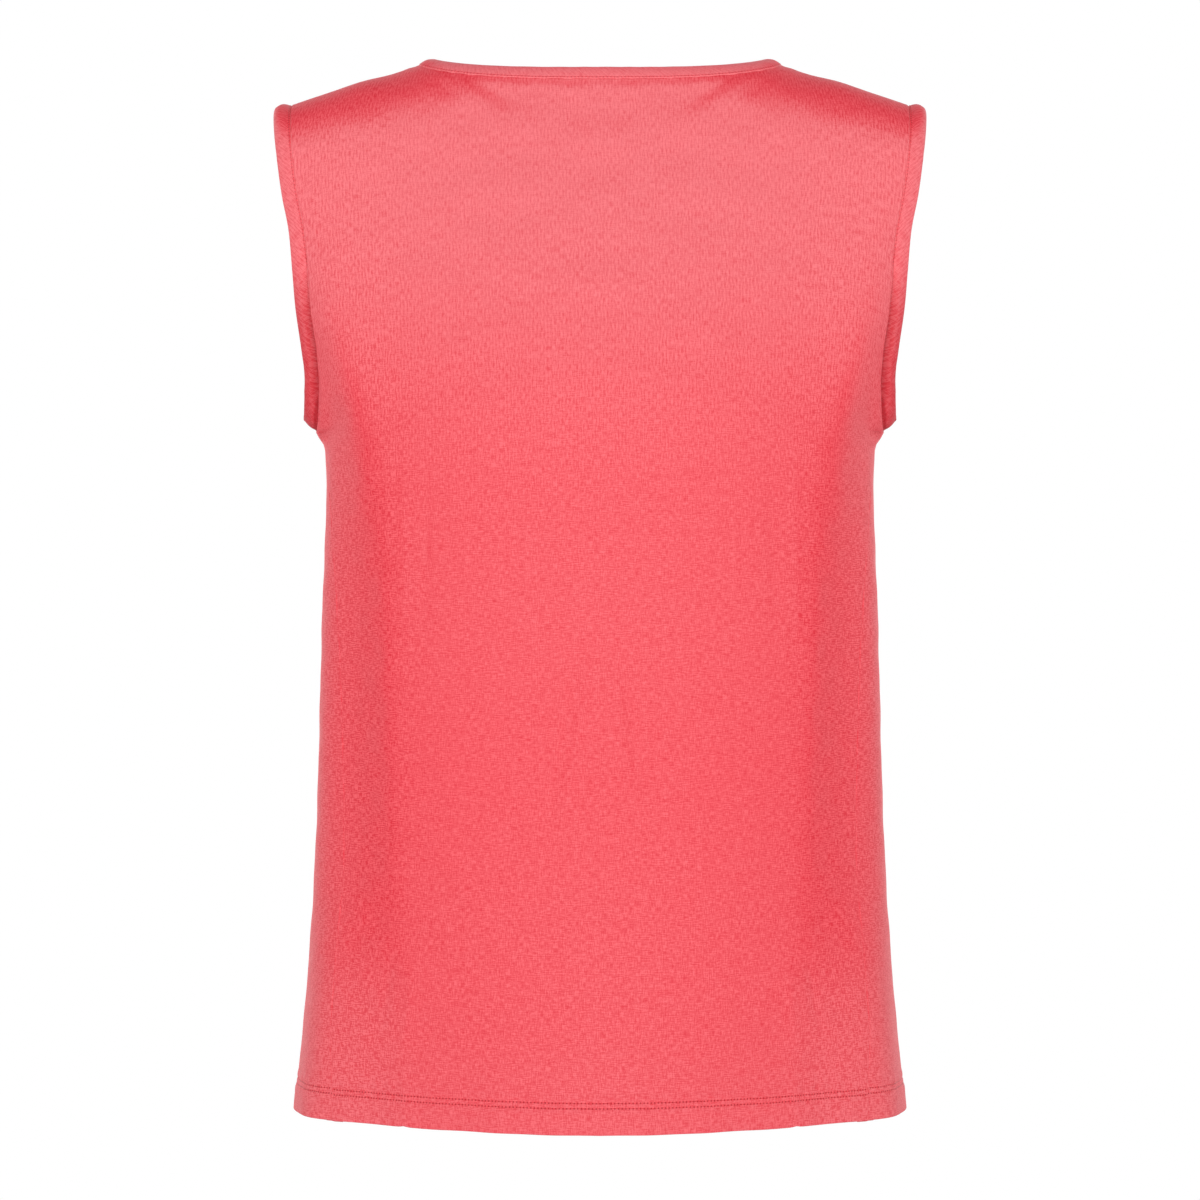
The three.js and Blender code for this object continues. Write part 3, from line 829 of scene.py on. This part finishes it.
def painted_hole_shade(tree, surface, stitch_rows, place, part):
    """Paints shade round each needle hole, by the distance from the nearest one, and less towards
    the shoulders."""
    along = calc(tree, "PINGPONG", place.outputs["X"], STITCH_PITCH / 2)
    off = [
        calc(tree, "ABSOLUTE", calc(tree, "SUBTRACT", place.outputs["Y"], float(row)))
        for row in stitch_rows
    ]
    off = calc(tree, "MINIMUM", off[0], off[-1])
    away = calc(tree, "SQRT", scaled(tree, along, along, scaled(tree, off, off)))
    strength = blend(tree, *HOLE_SHARE, part["upper"])
    hole = scaled(tree, step_between(tree, away, *HOLE_EDGE), strength)
    return tint(tree, surface, NEEDLE_HOLE_SHADE, hole)


def jersey_material(name, stitch_rows, bias=0.0):
    """Fine silky jersey along the cloth's own grain, with a painted sheen, and painted shade in
    needle holes in rows at given distances from the edge. Bias turns the grain of the bands, in
    radians, and also gives them painted shade under the arm."""
    material, tree, shader = plain_material(name, JERSEY_FINISH)
    coordinates = link_new(tree, "ShaderNodeTexCoord").outputs
    turn = {"Rotation": (0, 0, bias)}
    grain = link_new(tree, "ShaderNodeMapping", turn, Vector=coordinates["UV"]).outputs["Vector"]
    place = link_new(tree, "ShaderNodeSeparateXYZ", Vector=coordinates["UV"])
    site = link_new(tree, "ShaderNodeSeparateXYZ", Vector=coordinates["Object"])
    from_middle = calc(tree, "ABSOLUTE", site.outputs["X"])
    part = {
        part_name: step_between(tree, source, *ends)
        for source, parts in ((site.outputs["Z"], HEIGHT_PARTS), (from_middle, WIDTH_PARTS))
        for part_name, ends in parts.items()
    }
    weave = jersey_weave(tree, grain, part)
    clouds = grain_noise(tree, grain, CLOUDS)
    shade = jersey_shade(tree, weave, clouds, part, bias)
    surface = two_colours(tree, shade, ((0, JERSEY_DARK), (1, JERSEY_PALE)))
    painted_sheen = painted_sheen_share(tree, site, shade, part, bias)
    # painted sheen: a pale film added to the colour, standing in for the lights' sheen
    surface = tint(tree, surface, PAINTED_SHEEN, painted_sheen, "ADD")
    # the bands get painted shade under the arm and in the fold beside their seam
    if bias:
        surface = painted_fold_shade(tree, surface, clouds, place, part)
    # painted shade in the needle holes
    surface = painted_hole_shade(tree, surface, stitch_rows, place, part)
    tree.links.new(surface, shader.inputs["Base Color"])
    relief_share = blend(tree, RELIEF_SHARE["middle"], RELIEF_SHARE["upper"], part["upper"])
    relief_share = blend(tree, relief_share, RELIEF_SHARE["sides"], part["aside"])
    height = scaled(tree, weave, relief_share)
    relief = link_new(tree, "ShaderNodeBump", {"Strength": 1.0, "Distance": BUMP}, Height=height)
    tree.links.new(relief.outputs["Normal"], shader.inputs["Normal"])
    return material


def finish_cloth(piece, material, node):
    """Gives a sheet its thickness, on the side away from its faces, and its finish, and puts it in
    the place of its CAD solid."""
    wall = piece.modifiers.new("cloth thickness", "SOLIDIFY")
    wall.thickness = CLOTH
    wall.offset = -1
    piece.data.materials.append(material)
    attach(piece, "root")
    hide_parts(node)


jersey = jersey_material("coral jersey", STITCH_ROWS)

for node, cut in (("back_panel", BACK), ("front_panel", FRONT)):
    panel, cut_width, cut_length, cut_area = panel_object(f"{node}_cloth", cut)
    finish_cloth(panel, jersey, node)

# ---------------------------------------------------------------------------------------------
# Hem stitching: a cover stitch in thread dyed to match. Outside it is two rows of straight
# stitches, each from one needle hole to the next, and inside a looper thread crosses between
# the rows and holds down the raw edge of the turn-up.
# ---------------------------------------------------------------------------------------------
THREAD = 0.00017  # half the thickness of the sewing thread
THREAD_DARK = (0.62, 0.030, 0.045, 1)
THREAD_PALE = (0.85, 0.070, 0.092, 1)
NEEDLE_LIFT = 0.00006  # how far the stitches rise above the cloth, outside and inside
LOOPER_LIFT = 0.00020
LINE_POINTS = 1200  # of the fine line along which a row's holes are found
LAST_HOLE = 0.0005  # how near to the side seam a row may end
BOTH_SIDES = ([1, 1, 1], [-1, 1, 1])


def thread_material():
    """Spun polyester sewing thread, a little deeper in colour and glossier than the jersey."""
    finish = {"Roughness": 0.42, "Specular IOR Level": 0.2}
    material, tree, shader = plain_material("coral thread", finish)
    body = link_new(tree, "ShaderNodeTexCoord").outputs["Object"]
    fibres = link_new(tree, "ShaderNodeTexNoise", {"Scale": 1400.0, "Detail": 1.0}, Vector=body)
    colour = two_colours(tree, fibres.outputs["Fac"], ((0.35, THREAD_DARK), (0.65, THREAD_PALE)))
    tree.links.new(colour, shader.inputs["Base Color"])
    return material


thread_finish = thread_material()


def stitch_object(name, starts, ends, outward, lift):
    """Stitches as one mesh. Each is a six-sided tube along an arch between two holes: it rises from
    under the cloth by the square root of a sine, and closes to a point at both ends."""
    share = np.array([0.06, 0.28, 0.72, 0.94])
    swell = np.array([0.75, 1.0, 1.0, 0.75])
    sides = 6
    turn = np.arange(sides) * np.pi / (sides / 2)
    outward = unit(outward)
    side = unit(np.cross(ends - starts, outward))
    sunk = 1.6 * THREAD
    height = (lift + sunk) * np.sqrt(np.sin(np.pi * share)) - sunk
    centres = mix(starts[:, None], ends[:, None], share[:, None])
    centres = centres + outward[:, None] * height[:, None]
    around = side[:, None] * np.cos(turn)[:, None] + outward[:, None] * np.sin(turn)[:, None]
    rings = centres[:, :, None] + around[:, None] * (THREAD * swell)[:, None, None]
    tips = np.stack([starts, ends], axis=1) - outward[:, None] * sunk
    count, tube = len(starts), sides * share.size
    points = np.concatenate([rings.reshape(count, tube, 3), tips], axis=1)
    ring = np.arange(tube).reshape(-1, sides)
    after = np.roll(ring, -1, axis=1)
    quads = np.stack([ring[:-1], ring[1:], after[1:], after[:-1]], axis=-1).reshape(-1, 4)
    first = np.stack([np.full(sides, tube), ring[0], after[0]], axis=-1)
    last = np.stack([np.full(sides, tube + 1), after[-1], ring[-1]], axis=-1)
    base = (np.arange(count) * (tube + 2))[:, None, None]
    faces = (base + quads).reshape(-1, 4).tolist()
    faces += (base + np.concatenate([first, last])).reshape(-1, 3).tolist()
    piece = mesh_object(name, points, faces)
    piece.data.materials.append(thread_finish)
    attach(piece, "root")


def at_places(places, run, values):
    """Points or directions at places along a line, each found between its two neighbours."""
    return np.stack([np.interp(places, run, values[:, axis]) for axis in range(3)], axis=-1)


def row_points(cut, row, places, deep):
    """Points and outward directions on one side of a panel's hem, at a height above its edge and at
    widths from the middle, found along a fine line at that height, and the line's whole width."""
    side = math.radians(float(table_value(SIDE_SEAM, "angle", HEM_Z + row)))
    angle = mix(cut["face"] * np.pi / 2, side, np.linspace(0, 1, LINE_POINTS))
    level = HEM_Z + cut["hem_rise"] + row
    points, normal, width, _ = panel_face(cut, angle, np.full(angle.size, level))
    line = at_places(places, width, points - normal * deep)
    return line, at_places(places, width, normal), float(width[-1])


needle_parts, looper_parts = [], []
for cut in (BACK, FRONT):
    reach = row_points(cut, STITCH_ROWS[0], np.zeros(1), 0)[2]
    holes = np.arange(0, reach - LAST_HOLE, STITCH_PITCH)
    inside = []
    for row in STITCH_ROWS:
        line, way, _ = row_points(cut, row, holes, 0)
        inside.append(row_points(cut, row, holes, HEM_ROLL + CLOTH * 0.9)[:2])
        for flip in BOTH_SIDES:
            needle_parts.append(np.stack([line[:-1], line[1:], way[:-1] + way[1:]]) * flip)
    (low, low_way), (high, high_way) = inside
    for flip in BOTH_SIDES:
        looper_parts.append(np.stack([low[:-1], high[1:], -low_way[:-1]]) * flip)
        looper_parts.append(np.stack([high[:-1], low[1:], -high_way[:-1]]) * flip)
stitch_object("hem_needle_stitches", *np.concatenate(needle_parts, axis=1), NEEDLE_LIFT)
stitch_object("hem_looper_stitches", *np.concatenate(looper_parts, axis=1), LOOPER_LIFT)

# ---------------------------------------------------------------------------------------------
# Neck band: one bias strip of the same jersey, seamed on, folded over the edge and stitched
# down inside, so that its free edge is a soft roll of two layers.
# ---------------------------------------------------------------------------------------------
EDGE_RADIUS = 0.0009  # of the soft roll at a band's free edge
INNER_DEPTH = 0.0013  # of a band's inner layer, below its face, at the seam
NECK_STITCH = 0.0011  # from the seam up to the band's row of stitches
NECK_TUCK = 0.0020  # how far the band's raw edge lies under the panels
NECK_SWELL = (0.0005, 0.0013)  # how far the band's face swells, at the middle and at the shoulder
BACK_NECK_STEPS = 84
FRONT_NECK_STEPS = 96
bias_jersey = jersey_material("coral jersey on the bias", (NECK_STITCH,), math.radians(45))


def neck_edge_z(cut, x):
    """Height of the neck band's free edge."""
    share = np.clip(1 - (x / NECK_HALF) ** cut["power"], 0, 1)
    return NECK_POINT_Z - cut["edge_drop"] * share ** cut["round"]


# The lines of points along a band's outer and inner faces, as shares of its width.
FACE_STEPS = np.array([
    0, 0.010, 0.025, 0.045, 0.08, 0.13, 0.20, 0.30, 0.42, 0.54, 0.66, 0.78, 0.90,
])
BACK_STEPS = np.array([0.80, 0.62, 0.44, 0.26, 0.08])


def band_profile():
    """Shares of the band's width, distances beyond them and depths below its face, along one strip:
    out over the top, round the free edge and back inside."""
    roll = np.radians(np.linspace(0, 180, 9))[1:]
    face, back = np.zeros(FACE_STEPS.size), np.zeros(BACK_STEPS.size)
    across = np.concatenate([FACE_STEPS, np.full(roll.size, FACE_STEPS[-1]), BACK_STEPS])
    beyond = np.concatenate([face, EDGE_RADIUS * np.sin(roll), back])
    inner = np.linspace(2 * EDGE_RADIUS, INNER_DEPTH, BACK_STEPS.size)
    return across, beyond, np.concatenate([face, EDGE_RADIUS * (1 - np.cos(roll)), inner])


def neck_quarter(cut, steps):
    """Points of the neck band from the middle to the shoulder: the body's own surface between the
    neck seam and the free edge."""
    turn = np.linspace(0, np.pi / 2, steps)[:, None]
    across, beyond, depth = (part[None, :] for part in band_profile())
    seam_x = SEAM_HALF * np.sin(turn)
    edge_x = seam_x * NECK_HALF / SEAM_HALF
    x = mix(seam_x, edge_x, across)
    z = mix(neck_seam_z(cut, seam_x), neck_edge_z(cut, edge_x), across)
    z = np.minimum(z, shoulder_line(x) - 1e-7)
    angle = cut["face"] * angle_at(x, z)
    normal = body_normal(angle, z)
    normal[-1, :, 1] = 0
    normal[0, :, 0] = 0
    normal = unit(normal)
    face = body_point(angle, z)
    last = FACE_STEPS.size - 1
    strip = unit(face[:, last:last + 1] - face[:, :1])
    seam_roll = edge_roll(face, face[:, :1], 0, SEAM_ROLL) * (depth == 0)
    crown = mix(*NECK_SWELL, np.sin(turn) ** 8) * np.sin(np.pi * across) * (depth == 0)
    out = crown - depth - seam_roll
    return face + strip * beyond[..., None] + normal * out[..., None]


RUN_LINE = 4  # which of a band's lines of points its length is taken along, just off the seam


def strip_runs(ring):
    """Distances along a closed strip, stretched to a whole number of stitches, its real length, and
    distances across it from the seam."""
    line = ring[:, RUN_LINE]
    steps = np.linalg.norm(np.roll(line, -1, axis=0) - line, axis=-1)
    run = np.concatenate([[0], np.cumsum(steps)])
    length = float(run[-1])
    count = round(length / STITCH_PITCH)
    across = np.concatenate([[0], np.cumsum(np.linalg.norm(np.diff(ring[0], axis=0), axis=-1))])
    return run * count * STITCH_PITCH / length, length, across


def band_stitches(ring, run, across, height):
    """Starts, ends and outward directions of a row of stitches round a band, at a height above its
    seam: the strip is interpolated across and then along."""
    column = int(np.searchsorted(across, height))
    share = (height - across[column - 1]) / (across[column] - across[column - 1])
    line = mix(ring[:, column - 1], ring[:, column], share)
    step = ring[:, column] - ring[:, column - 1]
    outward = np.cross(np.roll(line, -1, axis=0) - np.roll(line, 1, axis=0), step)
    holes = np.arange(round(run[-1] / STITCH_PITCH) + 1) * STITCH_PITCH
    closed = np.concatenate([line, line[:1]])
    outward = np.concatenate([outward, outward[:1]])
    points, way = at_places(holes, run, closed), unit(at_places(holes, run, outward))
    return points[:-1], points[1:], way[:-1] + way[1:]


back_quarter = neck_quarter(BACK, BACK_NECK_STEPS)
front_quarter = neck_quarter(FRONT, FRONT_NECK_STEPS)
half_neck = np.concatenate([back_quarter, front_quarter[-2::-1]])
ring = np.concatenate([half_neck, half_neck[-2:0:-1] * [-1, 1, 1]])
run, neck_length, strip_width = strip_runs(ring)
# the outer face wavers a little away from the inner one
waver = 0.00016 * np.sin(run[:-1] * 380 + 1.5 * np.sin(run[:-1] * 71))[:, None, None]
outer_face = (np.arange(ring.shape[1]) < FACE_STEPS.size + 4)[None, :, None]
ring = ring + unit(ring[:, 5:6] - ring[:, -3:-2]) * waver * outer_face
ring[:, 0] += unit(ring[:, 1] - ring[:, 5]) * NECK_TUCK
cloth = np.stack(np.meshgrid(run, strip_width), axis=-1)
points = ring.transpose(1, 0, 2)
neck_band = grid_object("neck_band_cloth", points, cloth, joined=True, turned=True)
finish_cloth(neck_band, bias_jersey, "neck_band")
stitch_object("neck_stitches", *band_stitches(ring, run, strip_width, NECK_STITCH), NEEDLE_LIFT)

# ---------------------------------------------------------------------------------------------
# Armhole bands: bias strips seamed to the armhole edges and folded to the inside. They stand
# flatter than the body beside them. Under the arm a fold parts each from the body, and its raw
# edge is tucked under the panels.
# ---------------------------------------------------------------------------------------------
ARMHOLE_BAND = 0.0108
ARMHOLE_STITCH = 0.0011
ARMHOLE_TUCK = 0.0028
BAND_LEAN = {"shoulder": 14, "back": 30, "underarm": 48, "front": 42}

# The hollow along each band, at the shoulder and under the arm: how deep it is, how far its middle
# lies from the seam, and how wide it is.
HOLLOW_DEPTH = (0.0005, 0.0058)
HOLLOW_PLACE = (0, 0.0026)
HOLLOW_WIDTH = (0.0032, 0.0019)
BAND_SWELL = (0.0005, 0.0019)  # how far the band's face swells, under the arm and at the shoulder
ARMHOLE_STEPS = 170


def armhole_seam(steps):
    """Points round the right armhole's seam: up the back, over the shoulder and down the front."""
    rise = (1 - np.cos(np.pi * np.linspace(0, 1, steps))) / 2
    back = body_point(*yoke_place(BACK, np.ones(steps), rise))
    front = body_point(*yoke_place(FRONT, np.ones(steps), rise))
    return np.concatenate([back, front[-2:0:-1]])


def band_frames(points):
    """Directions across the band and out of its face. Each leans in from straight outwards by an
    angle that is mixed from four named places round the armhole."""
    along = np.roll(points, -1, axis=0) - np.roll(points, 1, axis=0)
    along = unit(along * [0, 1, 1])
    away = np.stack([np.zeros(len(points)), along[:, 2], -along[:, 1]], axis=-1)
    up = away[:, 2].clip(0) ** 2 * BAND_LEAN["shoulder"]
    down = (-away[:, 2]).clip(0) ** 2 * BAND_LEAN["underarm"]
    back = away[:, 1].clip(0) ** 2 * BAND_LEAN["back"]
    front = (-away[:, 1]).clip(0) ** 2 * BAND_LEAN["front"]
    lean = np.radians(up + down + back + front)[:, None]
    side = np.array([1.0, 0, 0])
    return side * np.cos(lean) - away * np.sin(lean), side * np.sin(lean) + away * np.cos(lean)


seam = armhole_seam(ARMHOLE_STEPS)
across_way, out_way = band_frames(seam)
across, beyond, depth = band_profile()
from_seam = across * ARMHOLE_BAND
face_part = (depth == 0)[None, :]
seam_roll = np.maximum(SEAM_ROLL - from_seam, 0)
seam_roll = (SEAM_ROLL - np.sqrt(SEAM_ROLL**2 - seam_roll**2))[None, :] * face_part
below = -seam[:, 2:]
under_arm = smooth_step(below, 0.105, 0.160) * (1 - 0.9 * smooth_step(below, 0.196, 0.214))
shoulder_part = smooth_step(seam[:, 2:], -0.075, -0.030)
crown = mix(*BAND_SWELL, shoulder_part) * np.sin(np.pi * across)[None, :] * face_part
hollow = bell(from_seam, mix(*HOLLOW_PLACE, under_arm), mix(*HOLLOW_WIDTH, under_arm))
out = crown - seam_roll - mix(*HOLLOW_DEPTH, under_arm) * hollow - depth[None, :]
reach = (from_seam + beyond)[None, :, None]
ring = seam[:, None] + across_way[:, None] * reach + out_way[:, None] * out[..., None]
run, armhole_length, strip_width = strip_runs(ring)
cloth = np.stack(np.meshgrid(run, strip_width), axis=-1)
stitches = np.stack(band_stitches(ring, run, strip_width, ARMHOLE_STITCH))
ring[:, 0] -= across_way * ARMHOLE_TUCK * smooth_step(below, 0.140, 0.170)
for side_name, flip in zip(("right", "left"), BOTH_SIDES):
    node = f"armhole_band_{side_name}"
    points = ring.transpose(1, 0, 2) * flip
    band = grid_object(f"{node}_cloth", points, cloth, joined=True, turned=flip[0] < 0)
    finish_cloth(band, bias_jersey, node)
    stitch_object(f"armhole_stitches_{side_name}", *stitches * flip, NEEDLE_LIFT)

# ---------------------------------------------------------------------------------------------
# Studio: a plain pale floor and a white surround that glows softly: most from behind the camera
# and a little above it, less from the top's far side, and least from its sides and far corners.
# ---------------------------------------------------------------------------------------------
SURROUND = 0.04  # how strongly the surround lights the top from everywhere
FLOOR_Z = -1.0
FLOOR_RADIUS = 2.1
FLOOR_SIDES = 96

# Where the surround glows: towards which direction, from what share of facing it, and how strongly.
GLOWS = named_rows("towards start strength", [
    ((0, 1, 0), 0.70, 1.70),
    ((0, 0.963, 0.269), 0.80, 2.75),
    ((0, -0.985, 0.174), 0.45, 1.25),
    ((1, 0, 0), 0.80, 1.04),
    ((-1, 0, 0), 0.80, 1.04),
    ((0.766, -0.643, 0), 0.60, 0.92),
    ((-0.766, -0.643, 0), 0.60, 0.92),
])
world = bpy.data.worlds.new("studio")
world.use_nodes = True
sky = world.node_tree
direction = link_new(sky, "ShaderNodeTexCoord").outputs["Generated"]
strength = SURROUND
for glow in GLOWS:
    dot = sky.nodes.new("ShaderNodeVectorMath")
    dot.operation = "DOT_PRODUCT"
    feed(sky, dot.inputs, (direction, glow["towards"]))
    fade = step_between(sky, dot.outputs["Value"], glow["start"], 1.0)
    strength = scaled(sky, fade, glow["strength"], strength)
soft = sky.nodes["Background"]
feed(sky, soft.inputs, ((1, 1, 1, 1), strength))
bright = link_new(sky, "ShaderNodeBackground", {"Color": (1, 1, 1, 1), "Strength": 1.0})
seen = link_new(sky, "ShaderNodeLightPath")
either = link_new(sky, "ShaderNodeMixShader", Fac=seen.outputs["Is Camera Ray"])
feed(sky, either.inputs[1:], (soft.outputs["Background"], bright.outputs["Background"]))
sky.links.new(either.outputs["Shader"], sky.nodes["World Output"].inputs["Surface"])
bpy.context.scene.world = world
bpy.context.scene.view_settings.view_transform = "Standard"

turn = np.linspace(0, 2 * np.pi, FLOOR_SIDES, endpoint=False)
rim = FLOOR_RADIUS * np.stack([np.cos(turn), np.sin(turn), np.zeros(FLOOR_SIDES)], axis=-1)
floor = mesh_object("floor", rim + [0, 0, FLOOR_Z], [list(range(FLOOR_SIDES))])
paint = {"Base Color": (0.9, 0.9, 0.9, 1), "Roughness": 0.7}
floor.data.materials.append(plain_material("pale floor", paint)[0])
